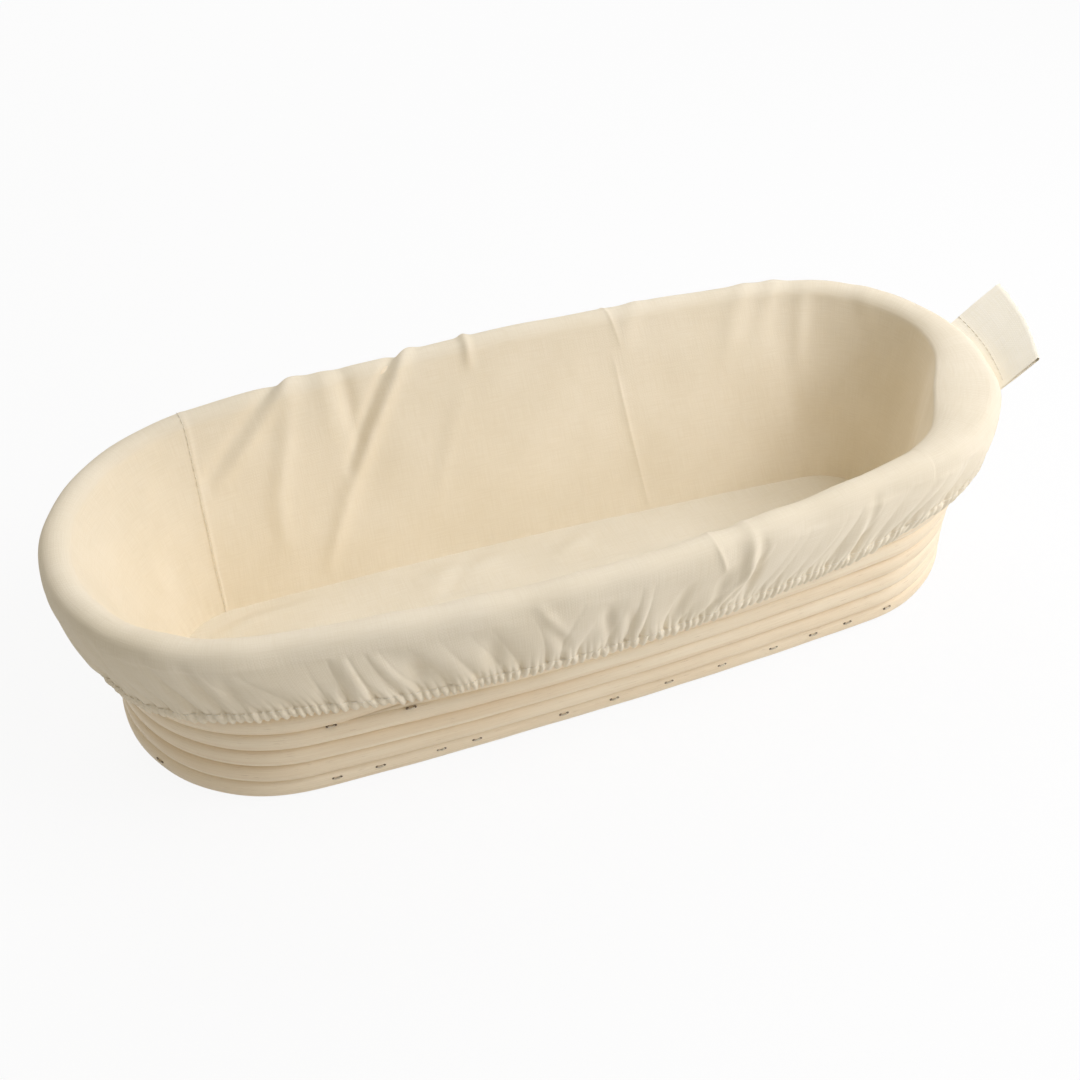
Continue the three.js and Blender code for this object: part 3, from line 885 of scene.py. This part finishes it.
def band_lift(place, around, z, level, part):
    """How far each point of the side cloth stands off its smooth shape."""
    turns = place / around
    inside = np.isin(part, ("slope", "rim"))
    outside = np.isin(part, ("skirt", "hem", "turn"))
    rim = part == "rim"
    lift = np.where(outside, skirt_lift(place, around, z, np.isin(part, ("hem", "turn"))), 0)
    slow = patch_waves(place, level, 21, [90 * MM, 64 * MM, 120 * MM, 48 * MM])
    streaks = patch_waves(place, 0.35 * level, 22, [31 * MM, 23 * MM, 17 * MM, 12 * MM, 27 * MM])
    off_seam = smooth(0, 20 * MM, level)
    lift = lift + np.where(inside, (WALL_WAVE * slow + WALL_STREAK * streaks) * off_seam, 0)
    pucker = patch_waves(place, 0.5 * level, 23, [7 * MM, 9.5 * MM, 13 * MM, 5.5 * MM])
    lift = lift + np.where(inside, SEAM_PUCKER * pucker * np.exp(-level / (7 * MM)), 0)
    puff = RIM_PUFF * loop_waves(turns, 31, [7, 12, 19, 26, 33]) + 0.1 * MM
    lift = lift + np.where(rim, puff, 0)
    for fold in (*WALL_FOLDS, CLOSING_SEAM):
        lift = lift + np.where(inside, fold.rise(place, level, around), 0)
    for fold in SKIRT_FOLDS:
        lift = lift + np.where(outside | rim, fold.rise(place, z, around), 0)
    return lift


def eased(lift, passes):
    """The lift eased across the rows, where the parts of the cloth meet."""
    for _ in range(passes):
        middle = (lift[:-2] + 2 * lift[1:-1] + lift[2:]) / 4
        lift = np.concatenate([lift[:1], middle, lift[-1:]])
    return lift


def side_cloth(material, thread):
    arc, share = round_steps(*CLOTH_STEPS)
    place, around = rim_places(arc, share)
    seam_start = int(np.argmin(np.abs(place - SEAM_PLACE)))
    arc = np.roll(arc, -seam_start)
    share = np.roll(share, -seam_start)
    place = np.roll(place, -seam_start)
    band = Band(arc, share, place, around)
    points = band.eased_points(BEND_PASSES)
    shape = points.shape[:2]
    level = np.broadcast_to(column(band.levels), shape)
    part = np.broadcast_to(column(band.parts), shape)
    places = np.broadcast_to(place, shape)
    z = points[:, :, 2]
    lift = eased(band_lift(places, around, z, level, part), LIFT_PASSES)
    up_hem = z - hem_bottom(places, around)
    drop = RUFFLE_DROP * (0.5 - hem_ruffle(places, around, z)) * smooth(HEM_STITCH, 0, up_hem)
    points = points + surface_normals(points) * lift[:, :, None]
    points[:, :, 2] += np.where(np.isin(part, ("hem", "turn")), drop, 0)
    faces = grid_faces(*shape, True).tolist()
    piece = new_piece("liner_side_cloth", points, faces, material)
    from_seam = (place - place[0]) % around
    set_uv(piece, "weave", grid(from_seam, column(mean_run(points))).reshape(-1, 2), around)
    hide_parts("liner_side_band")
    sew_side_cloth(band, points, place, around, thread)
    return piece


def sew_side_cloth(band, points, place, around, thread):
    """Thread along the top of the hem, and beside the closing seam."""
    normals = surface_normals(points)
    hem_row = band.parts.index("hem")
    stitches("hem_stitches", points[hem_row], normals[hem_row], HEM_STITCH_GAP, thread)
    rows = [i for i, kind in enumerate(band.parts) if kind in ("slope", "rim")]
    levels = [band.levels[i] for i in rows]
    places = np.interp(levels, *CLOSING_SEAM.path[::-1].T[::-1]) + SEAM_TO_THREAD
    seam, seam_normals = (np.array([along_row(grid[i], place, at, around) for i, at in zip(rows, places)])
                          for grid in (points, normals))
    stitches("seam_stitches", seam, seam_normals, STITCH_GAP, thread)


def surface_normals(points):
    """Unit normals of a grid of points whose rows are closed loops."""
    along = np.roll(points, -1, axis=1) - np.roll(points, 1, axis=1)
    return unit(np.cross(np.gradient(points, axis=0), along))


def along_row(row, place, at, around):
    """Point of a closed row at a place along the rim."""
    return [np.interp(at, place, row[:, i], period=around) for i in range(3)]


def stitches(name, path, normals, gap, material):
    """Stitches of a thread along a path on the cloth, with their ends sunk into it."""
    run = path_run(path)
    pitch = STITCH_LENGTH + gap
    count = int(run[-1] // pitch)
    share = np.linspace(0, 1, STITCH_RINGS)
    at = (np.arange(count)[:, None] * pitch + share * STITCH_LENGTH).ravel()
    centre = np.stack([np.interp(at, run, path[:, i]) for i in range(3)], axis=1)
    up = unit(np.stack([np.interp(at, run, normals[:, i]) for i in range(3)], axis=1))
    side = unit(np.cross(up, np.gradient(centre, axis=0)))
    arch = np.tile(np.sin(math.pi * share), count)[:, None]
    centre = centre + up * THREAD_RADIUS * (1.6 * arch - 0.6)
    angle = np.linspace(0, 2 * math.pi, STITCH_SIDES, endpoint=False)[None, :, None]
    rings = centre[:, None] + THREAD_RADIUS * (np.cos(angle) * up[:, None] + np.sin(angle) * side[:, None])
    one = grid_faces(STITCH_RINGS, STITCH_SIDES, True)
    faces = (one[None] + (np.arange(count) * STITCH_RINGS * STITCH_SIDES)[:, None, None]).reshape(-1, 4)
    return new_piece(name, rings, faces.tolist(), material)


def floor_cloth(material):
    """Oval panel that lies on the base coils, with the soft waves of loose cloth."""
    outline = (FLOOR_HIGH[0], FLOOR_HIGH[1], BASE_BOW)
    insets = column(np.linspace(-0.3 * MM, FLOOR_HIGH[1] - BASE_BOW - 1 * MM, FLOOR_ROWS))
    x, y = turned(*grown_points(outline, -insets, *round_steps(*FLOOR_STEPS)), FLOOR_TURN, FLOOR_SHIFT)
    waves = patch_waves(x, y, 41, [58 * MM, 83 * MM, 44 * MM, 110 * MM, 67 * MM])
    ease = smooth(0, 9 * MM, insets)
    wide_loop = 2  # metres, so wide that no fold comes round again
    folds = sum(fold.rise(x, y, wide_loop) for fold in FLOOR_FOLDS)
    z = FLOOR_TOP + FLOOR_LIFT + ease * (FLOOR_WAVE * (waves + 0.6) + folds)
    points = grid(x, y, z)
    rows, columns = points.shape[:2]
    faces = grid_faces(rows, columns, True)[:, ::-1].tolist()
    faces.append(list(range((rows - 1) * columns, rows * columns)))
    piece = new_piece("liner_floor_cloth", points, faces, material)
    set_uv(piece, "weave", points.reshape(-1, 3)[:, :2])
    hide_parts("liner_floor_panel")
    return piece


# Staples, elastic, label

def flecked_material(name, scale, stops, roughness, metallic=0, relief=0):
    """Fine noise over a piece, as its colour and, where relief is given, also as bump of that strength."""
    material, paint, shader = new_material(name)
    noise = paint.add("TexNoise", {"Vector": paint.position(), "Scale": scale}).outputs["Fac"]
    paint.fill(shader, {"Base Color": paint.ramp(noise, stops), "Metallic": metallic, "Roughness": roughness})
    if relief:
        paint.fill(shader, {"Normal": paint.bump(noise, relief, 0.1 * MM)})
    return material


def wire_material(name, dark, light):
    return flecked_material(name, 900, [(0.35, dark), (0.65, light)], 0.5, metallic=0.5)


def thread_material():
    stops = [(0.3, linear(222, 210, 186)), (0.7, linear(246, 238, 222))]
    return flecked_material("sewing_thread", 2200, stops, 0.8, relief=0.5)


def elastic_material():
    material, paint, shader = new_material("elastic")
    ribs = paint.wave(paint.position(), "Z", 0.8 * MM)
    colour = paint.ramp(ribs, [(0.2, linear(222, 216, 204)), (0.8, linear(240, 236, 226))])
    relief = paint.bump(ribs, 0.5, 0.2 * MM)
    paint.fill(shader, {"Base Color": colour, "Roughness": 0.8, "Normal": relief})
    return material


def hem_elastic(material):
    """Flat elastic in the hem's channel, which follows the hem round the basket."""
    arc, share = round_steps(*ELASTIC_STEPS)
    bottom = hem_bottom(*rim_places(arc, share))
    rows = []
    for out, up in ELASTIC_SECTION:
        z = bottom + up * MM
        rows.append(np.stack([*grown_points(wall_outline(z), out * MM, arc, share), z], axis=1))
    points = np.stack(rows)
    count, columns = points.shape[:2]
    faces = grid_faces(count + 1, columns, True) % (count * columns)
    piece = new_piece("hem_elastic_band", points, faces.tolist(), material)
    outward_faces(piece)
    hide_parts("hem_elastic")
    return piece


def staple_place(x, y, z, at, depth):
    """Middle, way along the cane and way out of a staple at one step of an outline."""
    ahead = (at + 1) % len(x)
    along = np.array([x[ahead] - x[at - 1], y[ahead] - y[at - 1], 0])
    along /= np.linalg.norm(along)
    out = np.array([along[1], -along[0], 0])
    return np.array([x[at], y[at], z]) - out * depth, along, out


def staple_places(names):
    """Places of the frame's staples in the bottom row, and of those in the groove over the lower rows."""
    steps = round_steps(*STAPLE_STEPS)
    places = []
    x, y = oval_points(*row_outline(0), *steps)
    for name in names:
        low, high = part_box(name)
        middle = (np.array(low) + np.array(high)) / 2
        at = np.argmin(np.hypot(x - middle[0], y - middle[1]))
        places.append(staple_place(x, y, middle[2], at, 0))
    groove = LOWER_ROWS + 0.5
    x, y = oval_points(*row_outline(groove), *steps)
    for along in GROOVE_STAPLES:
        at = np.argmin(np.abs(x - along) + (y > 0))
        places.append(staple_place(x, y, groove * ROW_PITCH + CANE_HEIGHT / 2, at, GROOVE_DEPTH))
    return places


def staples(wire, hole_shade):
    """Staples driven into the canes: the crown of the wire, and the dented holes of its two ends, painted
    dark brown as the shade inside them.
    """
    names = [name for name in frame["nodes"] if name.startswith("base_staple")]
    crown = np.array([-1, -0.97, -0.9, -0.75, 0, 0.75, 0.9, 0.97, 1]) * STAPLE_HALF
    proud = np.array([-1.2, -0.5, 0, 0.15, 0.2, 0.15, 0, -0.5, -1.2]) * MM
    angle = np.linspace(0, 2 * math.pi, STAPLE_SIDES, endpoint=False)[:, None]
    upward = np.array([0, 0, 1])
    points = []
    faces = []
    dark = []
    for middle, along, out in staple_places(names):
        path = middle + column(crown) * along + column(proud) * out
        rings = path[:, None] + STAPLE_RADIUS * (np.cos(angle) * out + np.sin(angle) * upward)
        faces.extend((grid_faces(len(crown), STAPLE_SIDES, True) + len(points)).tolist())
        dark.extend([0] * (len(crown) - 1) * STAPLE_SIDES)
        points.extend(rings.reshape(-1, 3))
        for end in (-STAPLE_HALF, STAPLE_HALF):
            start = len(points)
            ring = np.cos(angle) * along + 0.8 * np.sin(angle) * upward
            for size, rise in STAPLE_DENT:
                points.extend(middle + along * end + size * MM * ring + rise * MM * out)
            faces.extend((grid_faces(len(STAPLE_DENT), STAPLE_SIDES, True) + start).tolist())
            faces.append(list(range(len(points) - STAPLE_SIDES, len(points))))
            # These dent faces take the second material, a dark brown that is painted shade of the staple
            # holes.
            dark.extend([1] * ((len(STAPLE_DENT) - 1) * STAPLE_SIDES + 1))
    piece = new_piece("staple_wires", points, faces, wire)
    piece.data.materials.append(hole_shade)
    piece.data.polygons.foreach_set("material_index", dark)
    outward_faces(piece)
    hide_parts(*names)
    return piece


def label(material, thread):
    """Tape folded double and sewn to the rim: up along one leaf, round the fold, and back along the other."""
    back_root, front_root, back_tip, front_tip = (np.array(corner) * MM for corner in LABEL_CORNERS)
    across = np.linspace(0, 1, LABEL_COLUMNS)[None, :, None]
    leaf = np.linspace(0, 1, LEAF_ROWS)
    flat = np.zeros(LEAF_ROWS)
    around_fold = np.linspace(-1.3, 1.3, FOLD_ROWS)
    gap = LABEL_GAP + LABEL_FOLD * smooth(0, 0.6, leaf)
    run = np.concatenate([leaf, np.ones(FOLD_ROWS), leaf[::-1]])[:, None, None]
    past = np.concatenate([flat, LABEL_FOLD * np.cos(around_fold), flat])[:, None, None]
    height = np.concatenate([-gap, 1.05 * LABEL_FOLD * np.sin(around_fold), gap[::-1]])[:, None, None]
    root = back_root * (1 - across) + front_root * across
    tip = back_tip * (1 - across) + front_tip * across
    way = (back_tip + front_tip - back_root - front_root) / 2
    way /= np.linalg.norm(way)
    normal = np.cross(way, back_root - front_root)
    normal /= np.linalg.norm(normal)
    bulge = LABEL_BULGE * 4 * across * (1 - across) * np.array([1, 0, 0])
    points = root + (tip - root) * run + bulge + way * past + normal * height
    rows, columns = points.shape[:2]
    faces = grid_faces(rows, columns, False).tolist()
    piece = new_piece("label_tape", points, faces, material)
    width = np.linalg.norm(front_tip - back_tip)
    set_uv(piece, "weave", grid(across[:, :, 0] * width, column(mean_run(points))).reshape(-1, 2))
    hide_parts("label_loop")
    sewn = points[-4]
    stitches("label_stitches", sewn, np.broadcast_to(normal, sewn.shape), STITCH_GAP, thread)
    return piece


# Stage

def white_ground(material_name, shadow_share):
    """White that stays white to the camera, and keeps a share of the shadow that falls on it."""
    material, paint, shader = new_material(material_name)
    paint.fill(shader, {"Base Color": (0.86, 0.85, 0.83), "Roughness": 0.9, "Specular IOR Level": 0.1})
    glow = paint.add("Emission", {"Color": (1, 1, 1), "Strength": 1})
    seen = paint.any_ray("Is Camera Ray", "Is Glossy Ray", "Is Transmission Ray")
    share = paint.maths("MULTIPLY", seen, 1 - shadow_share)
    mix = paint.add("MixShader", {0: share, 1: shader.outputs[0], 2: glow.outputs[0]})
    paint.fill(paint.nodes["Material Output"], {"Surface": mix.outputs[0]})
    return material


def floor():
    half = 6
    mesh = bpy.data.meshes.new("floor")
    corners = [(-half, -half, 0), (half, -half, 0), (half, half, 0), (-half, half, 0)]
    mesh.from_pydata(corners, [], [(0, 1, 2, 3)])
    mesh.materials.append(white_ground("floor_white", 0.1))
    piece = new_object("floor", mesh)
    piece.location.z = -0.2 * MM


def world(light_strength, light_colour):
    """White to the camera, and a soft light from all round on everything else."""
    setting = bpy.data.worlds.new("studio")
    bpy.context.scene.world = setting
    setting.use_nodes = True
    paint = Paint(setting.node_tree)
    seen = paint.any_ray("Is Camera Ray", "Is Transmission Ray")
    colour = paint.mix("MIX", seen, light_colour, (1, 1, 1))
    strength = paint.add("MapRange", {"Value": seen, "To Min": light_strength, "To Max": 1})
    paint.fill(paint.nodes["Background"], {"Color": colour, "Strength": strength.outputs["Result"]})


def lamp(name, place, size, energy, colour=(1, 1, 1)):
    data = bpy.data.lights.new(name, "AREA")
    data.size = size
    data.energy = energy
    data.color = colour
    light = new_object(name, data)
    light.location = place
    light.rotation_euler = (LAMP_TARGET - Vector(place)).to_track_quat("-Z", "Y").to_euler()


def camera():
    back = Vector((math.sin(CAMERA_AZIMUTH) * math.cos(CAMERA_ELEVATION),
                   -math.cos(CAMERA_AZIMUTH) * math.cos(CAMERA_ELEVATION), math.sin(CAMERA_ELEVATION)))
    right = Vector((math.cos(CAMERA_AZIMUTH), math.sin(CAMERA_AZIMUTH), 0))
    up = back.cross(right)
    turned_right = right * math.cos(CAMERA_ROLL) + up * math.sin(CAMERA_ROLL)
    turned_up = up * math.cos(CAMERA_ROLL) - right * math.sin(CAMERA_ROLL)
    data = bpy.data.cameras.new("camera")
    data.lens = CAMERA_LENS
    data.sensor_width = CAMERA_SENSOR
    data.clip_start = 10 * MM
    eye = new_object("camera", data)
    axes = Matrix((turned_right, turned_up, back)).transposed().to_4x4()
    eye.matrix_world = Matrix.Translation(CAMERA_TARGET + back * CAMERA_DISTANCE) @ axes
    bpy.context.scene.camera = eye


# Assembly

rattan = rattan_material()
core_cane(rattan)
base_coil(rattan)
wall_coil("lower_wall_cane", "lower_wall_coil", 1, LOWER_ROWS, BACK_SIDE, LOWER_RAMP, 12, rattan)
first_upper = 1 + LOWER_ROWS
wall_coil("upper_wall_cane", "upper_wall_coil", first_upper, UPPER_ROWS, FRONT_SIDE, UPPER_RAMP, 13, rattan)

cotton = cotton_material("liner_cotton", linear(242, 230, 206), linear(238, 225, 199))
thread = thread_material()
band = side_cloth(cotton, thread)
# The floor panel's cotton is painted lighter and whiter than the side cloth's, as painted light from above.
floor_panel = floor_cloth(cotton_material("floor_cotton_lit", linear(245, 236, 216), linear(241, 231, 209)))
tape = cotton_material("label_tape", linear(254, 247, 230), linear(251, 243, 222))
label_piece = label(tape, thread)

hem_elastic(elastic_material())
wire = wire_material("staple_wire", linear(186, 172, 148), linear(220, 208, 186))
# The staple holes' dark brown is painted shade.
staples(wire, wire_material("staple_hole_shade", linear(92, 76, 58), linear(132, 112, 88)))

floor()
world(0.3, (1, 0.98, 0.94))
lamp("key", (1.02, -0.62, 0.77), 0.7, 5.6, (0.89, 0.91, 1))
lamp("near", (0.5, -0.22, 0.68), 0.45, 2.9, (0.92, 0.93, 1))
lamp("front", (0.7, -1.1, 0.6), 0.8, 2.2, (0.91, 0.93, 1))
lamp("right", (1.3, 0.15, 0.75), 0.7, 0.8, (0.91, 0.93, 1))
lamp("back", (0.1, 1.15, 0.95), 1, 6.8, (0.91, 0.93, 1))
lamp("left", (-0.7, 0.1, 1.1), 1, 1.5, (1, 0.92, 0.77))
camera()
bpy.context.scene.view_settings.view_transform = "Standard"
